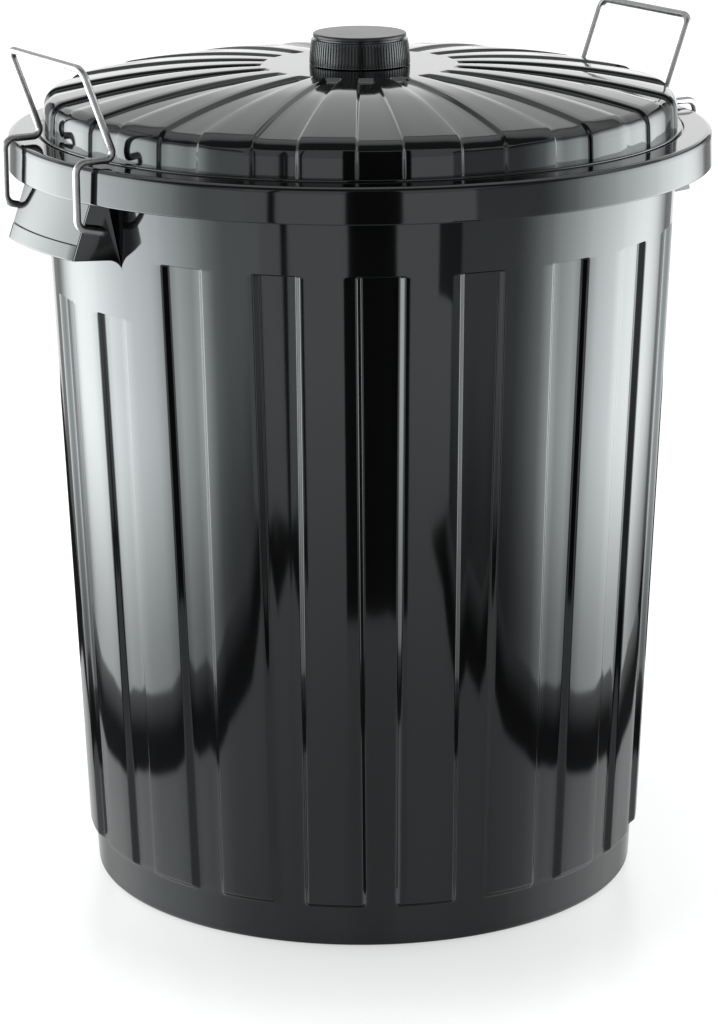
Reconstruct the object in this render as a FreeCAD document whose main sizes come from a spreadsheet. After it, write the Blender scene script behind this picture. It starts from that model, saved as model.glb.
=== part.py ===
import FreeCAD, Part
import math
import os
import Sketcher

# Trash can with a domed lid, a screw cap as its knob, and two wire clamps.
# Millimetres and degrees. The origin is the middle of the base on the floor, Z is up, and the handles lie along X.

V = FreeCAD.Vector
os.makedirs("parts", exist_ok=True)
doc = FreeCAD.newDocument("trash_can")
sheet = doc.addObject("Spreadsheet::Sheet", "Sizes")


class Size:
    """A size that keeps its number together with the sheet formula it comes from."""

    def __init__(self, value, formula):
        self.value = value
        self.formula = formula

    def __add__(self, other):
        other = as_size(other)
        return Size(self.value + other.value, f"({self.formula} + {other.formula})")

    def __sub__(self, other):
        other = as_size(other)
        return Size(self.value - other.value, f"({self.formula} - {other.formula})")

    def __mul__(self, other):
        other = as_size(other)
        return Size(self.value * other.value, f"({self.formula} * {other.formula})")

    def __truediv__(self, other):
        other = as_size(other)
        return Size(self.value / other.value, f"({self.formula} / {other.formula})")

    def __neg__(self):
        return Size(-self.value, f"(0 - {self.formula})")


def as_size(number):
    return number if isinstance(number, Size) else Size(float(number), str(number))


def root(a):
    return Size(math.sqrt(a.value), f"sqrt({a.formula})")


def sine(angle):
    return Size(math.sin(math.radians(angle.value)), f"sin({angle.formula})")


def across(radius, offset):
    """Distance along X of a point on a circle about Z that lies this far off the X axis."""
    return root(radius * radius - offset * offset)


def size(alias, number, note):
    """Write one driving size into the sheet."""
    size.row += 1
    sheet.set(f"A{size.row}", note)
    sheet.set(f"B{size.row}", str(number))
    sheet.setAlias(f"B{size.row}", alias)
    return Size(float(number), f"Sizes.{alias}")


size.row = 0

# Tub
rim_radius = size("rim_radius", 250, "outside of the rim's skirt at its lower edge")
rim_height = size("rim_height", 545.3, "top of the rim above the floor")
skirt_drop = size("skirt_drop", 24.5, "height of the rim's skirt")
skirt_flare = size("skirt_flare", 0.8, "how much wider the skirt is at its lower edge")
rim_round = size("rim_round", 4, "outer rounding of the rim")
wall = size("wall", 3, "wall thickness of the mouldings")
foot_taper = size("foot_taper", 47.7, "rim's radius less that of the ribbed wall carried down to the floor")
rim_width = size("rim_width", 24.4, "from the skirt in to the top of the wall")
seat_width = size("seat_width", 3.6, "lid seat outside the top of the wall")
seat_sink = size("seat_sink", 2, "lid seat below the rim's top")
foot_height = size("foot_height", 4, "clear height under the base panel")
foot_width = size("foot_width", 11, "width of the foot ring")
foot_round = size("foot_round", 2.5, "rounding of the foot's outer edge")

# Ribs and sunk panels of the wall
panels_per_half = size("panels_per_half", 10, "sunk panels round half of the wall")
panel_depth = size("panel_depth", 4, "depth of a panel")
panel_slope = size("panel_slope", 3.6, "run of a panel's slanted sides")
rib_half = size("rib_half", 18.5, "half the width of a rib's face")
panel_top_gap = size("panel_top_gap", 64, "from the rim's top down to the panels")
handle_panel_gap = size("handle_panel_gap", 107.3, "the same beside a handle, where the panels start lower")
rib_end = size("rib_end", 33, "height where the ribs end above the floor")
rib_end_slope = size("rib_end_slope", 4, "height of the slanted rib ends")
rib_end_round = size("rib_end_round", 2.5, "rounding of the rib ends")
band_step = size("band_step", 0.3, "lower band inside the panel floors")

# Handle brackets
handle_half = size("handle_half", 51, "half the width of a handle bracket")
handle_out = size("handle_out", 7.6, "a handle's lower edge outside the rim")
handle_tuck = size("handle_tuck", 12.8, "a handle's face inside the rim, where it meets it from below")
handle_drop = size("handle_drop", 63.3, "from the rim's top to a handle's lower edge")
handle_sweep = size("handle_sweep", 12, "radius of the sweep from a handle's side into the wall")
sweep_tail = size("sweep_tail", 19, "from a handle's lower edge to the end of its sweep")
side_root = size("side_root", 2, "how far a handle's sides reach into the wall")
grip_height = size("grip_height", 10.5, "height of the raised grip strip")
grip_raise = size("grip_raise", 1.5, "how far the grip strip stands out")
grip_inset = size("grip_inset", 1.5, "grip strip short of the bracket's sides")

# Lid
lid_play = size("lid_play", 1.2, "gap round the lid's flange")
flange_width = size("flange_width", 3, "flange outside the lid's wall")
flange_thickness = size("flange_thickness", 3.2, "thickness of the lid's flange")
lid_wall_height = size("lid_wall_height", 22.1, "from the flange's top to the dome's outer edge")
dome_rise = size("dome_rise", 20, "from the dome's outer edge to the centre disc")
dome_bulge = size("dome_bulge", 4, "how far the dome curves above a straight slope")
dome_curve = size("dome_curve", 1000, "radius of the dome's curve")
shoulder_round = size("shoulder_round", 10, "rounding of the lid's shoulder")
lid_lean = size("lid_lean", 1, "how much the lid's wall leans in")
disc_radius = size("disc_radius", 68.5, "flat disc in the middle of the lid")
ramp_length = size("ramp_length", 5, "ramp where a sunk sector meets the disc")
sector_step = size("sector_step", 4.2, "depth of the lid's sunk sectors")
sector_share = size("sector_share", 0.44, "sunk part of each sector's pitch")
sector_wall_angle = size("sector_wall_angle", 1.05, "angle left for the walls beside a sunk sector")

# Cap and neck
cap_radius = size("cap_radius", 36, "outside of the cap's ribs at their foot")
cap_lean = size("cap_lean", 1.6, "how much the ribs lean in")
cap_height = size("cap_height", 21.7, "height of the cap")
cap_gap = size("cap_gap", 0.7, "from the lid's disc to the cap")
cap_ribs = size("cap_ribs", 96, "ribs round the cap")
cap_rib_depth = size("cap_rib_depth", 0.8, "depth of the cap's ribs")
cap_rib_share = size("cap_rib_share", 0.8, "part of a cap rib's pitch that the rib fills")
cap_groove = size("cap_groove", 1.6, "height of the groove under the cap's top disc")
cap_disc = size("cap_disc", 2.8, "thickness of the cap's top disc")
cap_disc_inset = size("cap_disc_inset", 2.9, "top disc inside the ribs' foot")
neck_radius = size("neck_radius", 28.5, "outside of the lid's neck")
neck_play = size("neck_play", 1.5, "gap between the neck and the cap")
liner_thickness = size("liner_thickness", 1.8, "thickness of the cap's liner")
rest_gap = size("rest_gap", 0.3, "gap between faces that only meet under load")

# Wire clamps
wire = size("wire", 5, "diameter of the clamp wire")
pin_play = size("pin_play", 0.08, "radial play of the wire in its hole")
pin_inset = size("pin_inset", 20.5, "clamp hinge inside the rim")
pin_drop = size("pin_drop", 45.3, "from the rim's top down to the clamp hinge")
clamp_half = size("clamp_half", 56, "half the distance between a clamp's two legs")
hook_rise = size("hook_rise", 4.1, "middle of the wire above the rim where it crosses it")
hook_stop = size("hook_stop", 1.25, "corner of a hook outside the lid's flange")
leg_gap = size("leg_gap", 5, "gap between the rim and a clamp's legs")
tight_bend = size("tight_bend", 5, "radius of the wire's tight bends, at the hinge and the hook")
wide_bend = size("wide_bend", 7.5, "radius of the wire's other bends")
lever_height = size("lever_height", 65.7, "from the rim's top to the clamp's cross-bar")
lever_inset = size("lever_inset", 5, "cross-bar inside the rim")

# Radii and heights that follow from the driving sizes
mouth_radius = rim_radius - rim_width
foot_radius = rim_radius - foot_taper
handle_lip = rim_radius + handle_out
handle_root = rim_radius - handle_tuck
pin_reach = rim_radius - pin_inset
lever_reach = rim_radius - lever_inset
seat_radius = mouth_radius + seat_width
seat_height = rim_height - seat_sink
rim_under = seat_height - wall
skirt_low = rim_height - skirt_drop
panel_top = rim_height - panel_top_gap
handle_panel_top = rim_height - handle_panel_gap
handle_low = rim_height - handle_drop
pin_height = rim_height - pin_drop
pitch = Size(180, "180") / panels_per_half
half_pitch = pitch / 2


def rib_face(z):
    """Radius of the rib faces at a height, on one straight taper."""
    return foot_radius + (mouth_radius - foot_radius) * (as_size(z) / rim_height)


def panel_floor(z):
    return rib_face(z) - panel_depth


def plane_of(body, role):
    return [feature for feature in body.Origin.OriginFeatures if feature.Role == role][0]


def new_body(name):
    body = doc.addObject("PartDesign::Body", name)
    body.Label = name
    return body


def new_sketch(body, name, role, turn=None, shift=None):
    """Sketch on one of the body's planes, turned about Z or shifted off the plane."""
    sketch = body.newObject("Sketcher::SketchObject", name)
    sketch.AttachmentSupport = [(plane_of(body, role), "")]
    sketch.MapMode = "FlatFace"
    if turn is not None:
        sketch.AttachmentOffset = FreeCAD.Placement(V(), FreeCAD.Rotation(V(0, 1, 0), turn.value))
        sketch.setExpression("AttachmentOffset.Rotation.Angle", turn.formula)
    if shift is not None:
        sketch.AttachmentOffset = FreeCAD.Placement(V(0, 0, shift.value), FreeCAD.Rotation())
        sketch.setExpression("AttachmentOffset.Base.z", shift.formula)
    return sketch


def bind(sketch, constraint, amount):
    """Add a dimension to the sketch and tie it to the sheet."""
    index = sketch.addConstraint(Sketcher.Constraint(*constraint, amount.value))
    sketch.setExpression(f"Constraints[{index}]", amount.formula)


def place(sketch, geometry, point, x, y):
    """Fix a point of the sketch by its two distances from the origin."""
    for kind, amount, axis in (("DistanceX", as_size(x), -2), ("DistanceY", as_size(y), -1)):
        if amount.value == 0:
            sketch.addConstraint(Sketcher.Constraint("PointOnObject", geometry, point, axis))
        else:
            bind(sketch, (kind, -1, 1, geometry, point), amount)


def outline(sketch, corners):
    """Closed outline through corners (x, y) or (x, y, rounding)."""
    spots = [V(as_size(c[0]).value, as_size(c[1]).value, 0) for c in corners]
    count = len(corners)
    starts, ends, arcs = [], [], {}
    for i, corner in enumerate(corners):
        spot = spots[i]
        if len(corner) == 2:
            starts.append(spot)
            ends.append(spot)
            continue
        back = (spots[i - 1] - spot).normalize()
        ahead = (spots[(i + 1) % count] - spot).normalize()
        half = back.getAngle(ahead) / 2
        radius = corner[2].value
        reach = radius / math.tan(half)
        middle = spot + (back + ahead).normalize() * (radius / math.sin(half))
        starts.append(spot + back * reach)
        ends.append(spot + ahead * reach)
        turns_left = back.cross(ahead).z < 0
        first, last = (starts[i], ends[i]) if turns_left else (ends[i], starts[i])
        angles = [math.atan2(p.y - middle.y, p.x - middle.x) for p in (first, last)]
        if angles[1] < angles[0]:
            angles[1] += 2 * math.pi
        arcs[i] = (Part.ArcOfCircle(Part.Circle(middle, V(0, 0, 1), radius), *angles), turns_left)
    lines = [sketch.addGeometry(Part.LineSegment(ends[i], starts[(i + 1) % count])) for i in range(count)]
    for i, corner in enumerate(corners):
        before, after = lines[i - 1], lines[i]
        if i not in arcs:
            sketch.addConstraint(Sketcher.Constraint("Coincident", before, 2, after, 1))
            place(sketch, after, 1, corner[0], corner[1])
            continue
        arc, turns_left = arcs[i]
        bend = sketch.addGeometry(arc)
        first, last = (1, 2) if turns_left else (2, 1)
        sketch.addConstraint(Sketcher.Constraint("Tangent", before, 2, bend, first))
        sketch.addConstraint(Sketcher.Constraint("Tangent", bend, last, after, 1))
        bind(sketch, ("Radius", bend), corner[2])
        tip = sketch.addGeometry(Part.Point(spots[i]), True)
        sketch.addConstraint(Sketcher.Constraint("PointOnObject", tip, 1, before))
        sketch.addConstraint(Sketcher.Constraint("PointOnObject", tip, 1, after))
        place(sketch, tip, 1, corner[0], corner[1])


def sector(sketch, inner, inner_half, outer, outer_half):
    """Ring sector about the origin with slanted sides, on the X axis of the sketch."""
    spots = []
    for radius, half in ((inner, inner_half), (outer, outer_half)):
        spots.append((across(radius, half).value, half.value))
    (xi, yi), (xo, yo) = spots
    arc_in = Part.ArcOfCircle(Part.Circle(V(), V(0, 0, 1), inner.value), math.atan2(-yi, xi), math.atan2(yi, xi))
    arc_out = Part.ArcOfCircle(Part.Circle(V(), V(0, 0, 1), outer.value), math.atan2(-yo, xo), math.atan2(yo, xo))
    inside = sketch.addGeometry(arc_in)
    outside = sketch.addGeometry(arc_out)
    upper = sketch.addGeometry(Part.LineSegment(V(xi, yi, 0), V(xo, yo, 0)))
    lower = sketch.addGeometry(Part.LineSegment(V(xi, -yi, 0), V(xo, -yo, 0)))
    for arc, radius, half, end in ((inside, inner, inner_half, 1), (outside, outer, outer_half, 2)):
        sketch.addConstraint(Sketcher.Constraint("Coincident", arc, 3, -1, 1))
        sketch.addConstraint(Sketcher.Constraint("Coincident", upper, end, arc, 2))
        sketch.addConstraint(Sketcher.Constraint("Coincident", lower, end, arc, 1))
        bind(sketch, ("Radius", arc), radius)
        bind(sketch, ("DistanceY", -1, 1, arc, 2), half)
        bind(sketch, ("DistanceY", -1, 1, arc, 1), -half)


def revolve(body, kind, name, sketch, angle=None):
    """Turn a sketch about Z, all the way round or over an angle with the sketch in its middle."""
    feature = body.newObject(f"PartDesign::{kind}", name)
    feature.Profile = sketch
    feature.ReferenceAxis = (sketch, ["V_Axis"])
    feature.Angle = 360
    if angle is not None:
        feature.Midplane = True
        feature.setExpression("Angle", angle.formula)
    body.Tip = feature
    return feature


def loft(body, kind, name, low, high):
    feature = body.newObject(f"PartDesign::{kind}", name)
    feature.Profile = low
    feature.Sections = [high]
    feature.Ruled = True
    body.Tip = feature
    return feature


def turned(body, name, originals, copies, angle=None):
    """Repeat features about Z, round the full circle or over an angle from the first to the last."""
    pattern = body.newObject("PartDesign::PolarPattern", name)
    pattern.Originals = originals
    pattern.Axis = (body.Origin.OriginFeatures[2], [""])
    pattern.setExpression("Occurrences", copies.formula)
    pattern.Angle = 360
    if angle is not None:
        pattern.setExpression("Angle", angle.formula)
    body.Tip = pattern
    return pattern


def mirrored(body, name, originals, role):
    mirror = body.newObject("PartDesign::Mirrored", name)
    mirror.Originals = originals
    mirror.MirrorPlane = (plane_of(body, role), [""])
    body.Tip = mirror
    return mirror


def combined(body, name, originals, steps):
    """Repeat features by several transformations, one after another."""
    multi = body.newObject("PartDesign::MultiTransform", name)
    multi.Originals = originals
    multi.Transformations = steps
    body.Tip = multi
    return multi


def wall_panel(body, name, turn, top):
    """One sunk panel of the tub's wall, narrower towards the floor as the wall tapers."""
    sections = []
    for part, z in (("low", rib_end - rib_end_slope), ("high", top)):
        sketch = body.newObject("Sketcher::SketchObject", f"{name}_{part}")
        sketch.AttachmentSupport = [(plane_of(body, "XY_Plane"), "")]
        sketch.MapMode = "FlatFace"
        sketch.AttachmentOffset = FreeCAD.Placement(V(0, 0, z.value), FreeCAD.Rotation(V(0, 0, 1), turn.value))
        sketch.setExpression("AttachmentOffset.Base.z", z.formula)
        sketch.setExpression("AttachmentOffset.Rotation.Angle", turn.formula)
        face = rib_face(z)
        face_half = face * sine(half_pitch) - rib_half
        beyond = panel_depth / 4
        sector(sketch, panel_floor(z), face_half - panel_slope, face + beyond, face_half + panel_slope / 4)
        sections.append(sketch)
    return loft(body, "SubtractiveLoft", name, *sections)


def rib_hollow(body):
    """Hollow behind one rib, inside the tub, that keeps the wall evenly thick."""
    sections = []
    for part, z in (("low", rib_end + rib_end_slope), ("high", panel_top + wall)):
        sketch = new_sketch(body, f"rib_hollow_{part}", "XY_Plane", shift=z)
        back = rib_face(z) - wall
        front = panel_floor(z) - wall - panel_depth / 4
        sector(sketch, front, rib_half + panel_slope, back, rib_half - wall / 2)
        sections.append(sketch)
    return loft(body, "SubtractiveLoft", "rib_hollow", *sections)


def make_tub():
    body = new_body("tub")
    inner_panel = panel_top + wall
    band_top = rib_end - rib_end_slope
    skirt_top_radius = rim_radius - skirt_flare
    profile = new_sketch(body, "tub_profile", "XZ_Plane")
    foot_edge = panel_floor(0) - band_step
    foot_inside = foot_edge - foot_width
    floor_top = foot_height + wall
    outline(profile, [
        (0, foot_height),
        (foot_inside, foot_height),
        (foot_inside, 0),
        (foot_edge, 0, foot_round),
        (panel_floor(band_top) - band_step, band_top),
        (rib_face(rib_end), rib_end, rib_end_round),
        (rib_face(rim_under), rim_under),
        (rim_radius - skirt_flare - wall, rim_under),
        (rim_radius - wall, skirt_low),
        (rim_radius, skirt_low),
        (skirt_top_radius, rim_height, rim_round),
        (seat_radius, rim_height),
        (seat_radius, seat_height),
        (mouth_radius - wall, seat_height),
        (rib_face(inner_panel) - wall, inner_panel),
        (panel_floor(inner_panel) - wall, inner_panel),
        (panel_floor(floor_top) - wall, floor_top, wall),
        (0, floor_top),
    ])
    revolve(body, "Revolution", "tub_turned", profile)

    first = wall_panel(body, "panel", half_pitch + pitch, panel_top)
    doc.recompute()
    half_circle = turned(body, "panel_half", [], panels_per_half - 2, pitch * (panels_per_half - 3))
    other_half = mirrored(body, "panel_mirror", [], "XZ_Plane")
    combined(body, "panels", [first], [half_circle, other_half])

    short = wall_panel(body, "handle_panel", half_pitch, handle_panel_top)
    doc.recompute()
    across_y = mirrored(body, "handle_panel_y", [], "XZ_Plane")
    across_x = mirrored(body, "handle_panel_x", [], "YZ_Plane")
    combined(body, "handle_panels", [short], [across_y, across_x])

    hollow = rib_hollow(body)
    doc.recompute()
    turned(body, "rib_hollows", [hollow], panels_per_half * 2)
    doc.recompute()
    add_handle(body)
    return body


def add_handle(body):
    """Handle bracket on +X and its mirror image: two sides, a leaning face with a grip strip, and the hinge holes."""
    face_lean = (handle_lip - handle_root) / (rim_under - handle_low)
    side_top = rim_under + wall / 2

    def face_radius(z):
        return handle_root + face_lean * (rim_under - z)

    def in_wall(z, depth):
        return across(rib_face(z) - depth, handle_half)

    side_profile = new_sketch(body, "handle_side_profile", "XZ_Plane", shift=handle_half)
    sweep_low = handle_low - sweep_tail
    sweep_corner = handle_low - wall
    outline(side_profile, [
        (in_wall(side_top, side_root), side_top),
        (across(face_radius(side_top), handle_half), side_top),
        (across(face_radius(handle_low), handle_half), handle_low),
        (in_wall(sweep_corner, wall / 4), sweep_corner, handle_sweep),
        (in_wall(sweep_low, side_root), sweep_low),
    ])
    side = body.newObject("PartDesign::Pad", "handle_side")
    side.Profile = side_profile
    side.Reversed = True
    side.setExpression("Length", wall.formula)
    body.Tip = side
    doc.recompute()
    across_y = mirrored(body, "handle_side_y", [], "XZ_Plane")
    across_x = mirrored(body, "handle_side_x", [], "YZ_Plane")
    combined(body, "handle_sides", [side], [across_y, across_x])

    def leaning_plate(name, half, top, low, inside, outside):
        """Plate that follows the circle of the bracket's face between two heights, the same width all the way."""
        sections = []
        for part, z in (("low", low), ("high", top)):
            sketch = new_sketch(body, f"{name}_{part}", "XY_Plane", shift=z)
            sector(sketch, face_radius(z) - inside, half, face_radius(z) + outside, half)
            sections.append(sketch)
        return loft(body, "AdditiveLoft", name, *sections)

    plate_half = handle_half - wall / 2
    face = leaning_plate("handle_face", plate_half, side_top, handle_low, wall, Size(0, "0"))
    grip_top = handle_low + grip_height
    grip = leaning_plate("grip", plate_half - grip_inset, grip_top, handle_low, wall / 2, grip_raise)
    doc.recompute()
    mirrored(body, "far_handle_face", [face, grip], "YZ_Plane")

    hole_profile = new_sketch(body, "hinge_hole_profile", "XZ_Plane")
    hole_radius = wire / 2 + pin_play
    circle = Part.Circle(V(pin_reach.value, pin_height.value, 0), V(0, 0, 1), hole_radius.value)
    ring = hole_profile.addGeometry(circle)
    bind(hole_profile, ("Radius", ring), hole_radius)
    place(hole_profile, ring, 3, pin_reach, pin_height)
    hole = body.newObject("PartDesign::Pocket", "hinge_hole")
    hole.Profile = hole_profile
    hole.Midplane = True
    hole.setExpression("Length", (handle_half * 2 + wall).formula)
    body.Tip = hole
    doc.recompute()
    mirrored(body, "far_hinge_hole", [hole], "YZ_Plane")


# Lid heights and radii
flange_radius = seat_radius - lid_play
flange_top = seat_height + flange_thickness
lid_radius = flange_radius - flange_width
shoulder_radius = lid_radius - lid_lean
shoulder_height = flange_top + lid_wall_height
disc_height = shoulder_height + dome_rise
dome_middle = (shoulder_radius + disc_radius) / 2
dome_middle_height = (shoulder_height + disc_height) / 2 + dome_bulge
inner_step = sector_step + wall


def dome_height(radius):
    """Height of the dome's straight inner slope at a radius."""
    slope = (disc_height - dome_middle_height) / (dome_middle - disc_radius)
    return disc_height - slope * (radius - disc_radius)


def dome_line(start, depth):
    """Corners of the dome, shoulder and wall from a start radius outwards, this far under the raised surface."""
    return [
        (start, dome_height(start) - depth),
        (dome_middle, dome_middle_height - depth, dome_curve - depth),
        (shoulder_radius - depth, shoulder_height - depth, shoulder_round - depth),
    ]


def make_lid():
    body = new_body("lid")
    neck_inside = neck_radius - wall
    ramp_out = disc_radius + ramp_length
    profile = new_sketch(body, "lid_profile", "XZ_Plane")
    outline(profile, [
        (neck_inside, disc_height - wall),
        (disc_radius - wall / 2, disc_height - wall),
        *dome_line(ramp_out, inner_step),
        (lid_radius - inner_step, seat_height),
        (flange_radius, seat_height),
        (flange_radius, flange_top),
        (lid_radius, flange_top),
        (shoulder_radius, shoulder_height, shoulder_round),
        (dome_middle, dome_middle_height, dome_curve),
        (disc_radius, disc_height),
        (neck_radius, disc_height),
        (neck_radius, neck_top),
        (neck_inside, neck_top),
    ])
    revolve(body, "Revolution", "lid_turned", profile)

    sunk_profile = new_sketch(body, "sunk_sector_profile", "XZ_Plane", turn=half_pitch)
    ramp_in = disc_radius + ramp_length / 10
    clear = disc_height + wall
    outline(sunk_profile, [
        (ramp_in, disc_height),
        *dome_line(ramp_out, sector_step),
        (lid_radius - sector_step, flange_top),
        (flange_radius + wall, flange_top),
        (flange_radius + wall, clear),
        (ramp_in, clear),
    ])
    sunk = revolve(body, "Groove", "sunk_sector", sunk_profile, pitch * sector_share)
    doc.recompute()
    turned(body, "sunk_sectors", [sunk], panels_per_half * 2)

    hollow_profile = new_sketch(body, "sector_hollow_profile", "XZ_Plane")
    start = ramp_out + ramp_length
    below = inner_step + wall
    outline(hollow_profile, [
        *dome_line(start, wall),
        (lid_radius - wall, seat_height - wall),
        (lid_radius - below, seat_height - wall),
        (shoulder_radius - below, shoulder_height - below),
        (dome_middle, dome_middle_height - below),
        (start, dome_height(start) - below),
    ])
    hollow_angle = pitch * (Size(1, "1") - sector_share) - sector_wall_angle * 2
    hollow = revolve(body, "Groove", "sector_hollow", hollow_profile, hollow_angle)
    doc.recompute()
    turned(body, "sector_hollows", [hollow], panels_per_half * 2)
    return body


# Cap heights and radii
cap_low = disc_height + cap_gap
cap_top = cap_low + cap_height
cap_ceiling = cap_top - cap_disc - cap_groove / 2
cap_bore = neck_radius + neck_play
rib_top = cap_top - cap_disc - cap_groove
liner_low = cap_ceiling - rest_gap - liner_thickness
neck_top = liner_low - rest_gap


def make_cap():
    body = new_body("cap")
    core_low = cap_radius - cap_rib_depth
    core_high = core_low - cap_lean
    disc_edge = cap_radius - cap_disc_inset
    groove_radius = disc_edge - cap_groove
    profile = new_sketch(body, "cap_profile", "XZ_Plane")
    outline(profile, [
        (cap_bore, cap_low),
        (core_low, cap_low),
        (core_high, rib_top),
        (groove_radius, rib_top),
        (groove_radius, rib_top + cap_groove),
        (disc_edge, rib_top + cap_groove),
        (disc_edge, cap_top, cap_disc / 2),
        (0, cap_top),
        (0, cap_ceiling),
        (cap_bore, cap_ceiling),
    ])
    revolve(body, "Revolution", "cap_turned", profile)
    sections = []
    half_width = cap_radius * sine(Size(180, "180") / cap_ribs) * cap_rib_share
    for part, z, core in (("low", cap_low, core_low), ("high", rib_top, core_high)):
        sketch = new_sketch(body, f"cap_rib_{part}", "XY_Plane", shift=z)
        outline(sketch, [
            (core - cap_rib_depth, -half_width),
            (core + cap_rib_depth, 0),
            (core - cap_rib_depth, half_width),
        ])
        sections.append(sketch)
    rib = loft(body, "AdditiveLoft", "cap_rib", *sections)
    doc.recompute()
    turned(body, "cap_ribs", [rib], cap_ribs)
    return body


def make_liner():
    liner = doc.addObject("Part::Cylinder", "cap_liner")
    liner.Label = "cap_liner"
    liner.setExpression("Radius", (cap_bore - rest_gap).formula)
    liner.setExpression("Height", liner_thickness.formula)
    liner.setExpression("Placement.Base.z", liner_low.formula)
    return liner


def bent_path(points, bends):
    """Path of straight lengths and round bends through the points."""
    edges = []
    last = points[0]
    for i in range(1, len(points) - 1):
        corner = points[i]
        back = (points[i - 1] - corner).normalize()
        ahead = (points[i + 1] - corner).normalize()
        half = back.getAngle(ahead) / 2
        start = corner + back * (bends[i - 1] / math.tan(half))
        end = corner + ahead * (bends[i - 1] / math.tan(half))
        crown = corner + (back + ahead).normalize() * (bends[i - 1] / math.sin(half) - bends[i - 1])
        edges.append(Part.makeLine(last, start))
        edges.append(Part.Arc(start, crown, end).toShape())
        last = end
    edges.append(Part.makeLine(last, points[-1]))
    return Part.Wire(edges)


def make_clamps():
    """Wire clamp on +X, bent from one length of wire, and its mirror image."""
    half = clamp_half.value
    hinge = V(pin_reach.value, half, pin_height.value)
    pin_end = V(hinge.x, handle_half.value - wall.value - wire.value, hinge.z)
    leg = across(rim_radius + leg_gap + wire / 2, clamp_half).value
    hook_height = (rim_height + hook_rise).value
    hook_end = across(flange_radius + hook_stop, clamp_half).value
    side = [
        pin_end,
        hinge,
        V(leg, half, hinge.z + wire.value),
        V(leg, half, hook_height),
        V(hook_end, half, hook_height),
        V(lever_reach.value, half, (rim_height + lever_height).value),
    ]
    other_side = [V(p.x, -p.y, p.z) for p in reversed(side)]
    tight = tight_bend.value
    wide = wide_bend.value
    bends = [tight, wide, wide, tight, wide]
    path = doc.addObject("Part::Feature", "clamp_path")
    path.Shape = bent_path(side + other_side, bends + bends[::-1])
    ring = doc.addObject("Part::Circle", "clamp_section")
    ring.setExpression("Radius", (wire / 2).formula)
    ring.Placement = FreeCAD.Placement(pin_end, FreeCAD.Rotation(V(0, 0, 1), V(0, 1, 0)))
    right = doc.addObject("Part::Sweep", "clamp_right")
    right.Label = "clamp_right"
    right.Sections = [ring]
    right.Spine = (path, [f"Edge{i + 1}" for i in range(len(path.Shape.Edges))])
    right.Solid = True
    left = doc.addObject("Part::Mirroring", "clamp_left")
    left.Label = "clamp_left"
    left.Source = right
    left.Normal = V(1, 0, 0)
    return [right, left]


pieces = [make_tub(), make_lid(), make_cap(), make_liner(), *make_clamps()]
doc.recompute()
for item in doc.Objects:
    if "Invalid" in item.State or "Error" in item.State:
        raise RuntimeError(f"{item.Name} did not build: {item.State}")
for piece in pieces:
    shape = piece.Shape
    if shape.isNull() or not shape.isValid() or len(shape.Solids) != 1:
        raise RuntimeError(f"{piece.Label} is not one sound solid")
    shape.exportStep(f"parts/{piece.Label}.step")
    box = shape.BoundBox
    print(f"{piece.Label}: {shape.Volume / 1000:.1f} cm3, {len(shape.Faces)} faces,"
          f" x {box.XMin:.1f} to {box.XMax:.1f}, z {box.ZMin:.1f} to {box.ZMax:.1f}")
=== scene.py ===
# %% [markdown]
# # A trash can with a domed lid and two wire clamps
#
# The CAD frame gives the exact solids and the bodies that move. This lesson dresses it: each piece
# is worked out again as a smooth surface, because glossy black plastic shows every facet of a plain
# CAD mesh, and then it gets its finish. Work goes from the frame to the tub, the lid, the cap and
# the wires, and ends with the finishes, the camera and the light.

import math

import bpy
import numpy as np
from mathutils import Matrix, Vector


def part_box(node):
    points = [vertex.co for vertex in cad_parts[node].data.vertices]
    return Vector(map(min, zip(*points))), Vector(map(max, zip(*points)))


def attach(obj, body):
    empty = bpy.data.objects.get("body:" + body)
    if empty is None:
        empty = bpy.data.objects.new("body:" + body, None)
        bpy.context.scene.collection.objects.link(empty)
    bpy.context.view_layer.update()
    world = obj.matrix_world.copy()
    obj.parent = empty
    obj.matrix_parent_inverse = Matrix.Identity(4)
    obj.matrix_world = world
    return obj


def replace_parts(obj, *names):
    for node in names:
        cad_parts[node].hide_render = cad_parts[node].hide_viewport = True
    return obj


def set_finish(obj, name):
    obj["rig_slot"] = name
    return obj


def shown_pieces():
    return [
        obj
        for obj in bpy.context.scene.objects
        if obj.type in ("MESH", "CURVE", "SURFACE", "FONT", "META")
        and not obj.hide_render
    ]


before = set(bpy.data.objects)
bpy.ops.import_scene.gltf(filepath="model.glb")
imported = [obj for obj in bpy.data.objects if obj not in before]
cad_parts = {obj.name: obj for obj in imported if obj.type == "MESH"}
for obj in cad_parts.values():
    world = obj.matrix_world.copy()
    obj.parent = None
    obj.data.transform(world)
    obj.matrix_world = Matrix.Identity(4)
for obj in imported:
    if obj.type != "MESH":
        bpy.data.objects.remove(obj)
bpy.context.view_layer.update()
print("nodes of the frame:", ", ".join(sorted(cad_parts)))

# %% [markdown]
# ## Sizes
#
# Everything is worked out in millimetres, the unit a moulder would use, and turned into metres when
# a mesh is made. The main heights and radii could be typed in again, but they are read from the
# boxes of the frame's own nodes, so that the surfaces follow the solids.

# %% Read the main sizes from the frame
MM = 0.001


def box_mm(node):
    """Lowest and highest corner of a CAD node, in millimetres."""
    low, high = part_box(node)
    return np.round(np.array(low) / MM, 1), np.round(np.array(high) / MM, 1)


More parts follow.
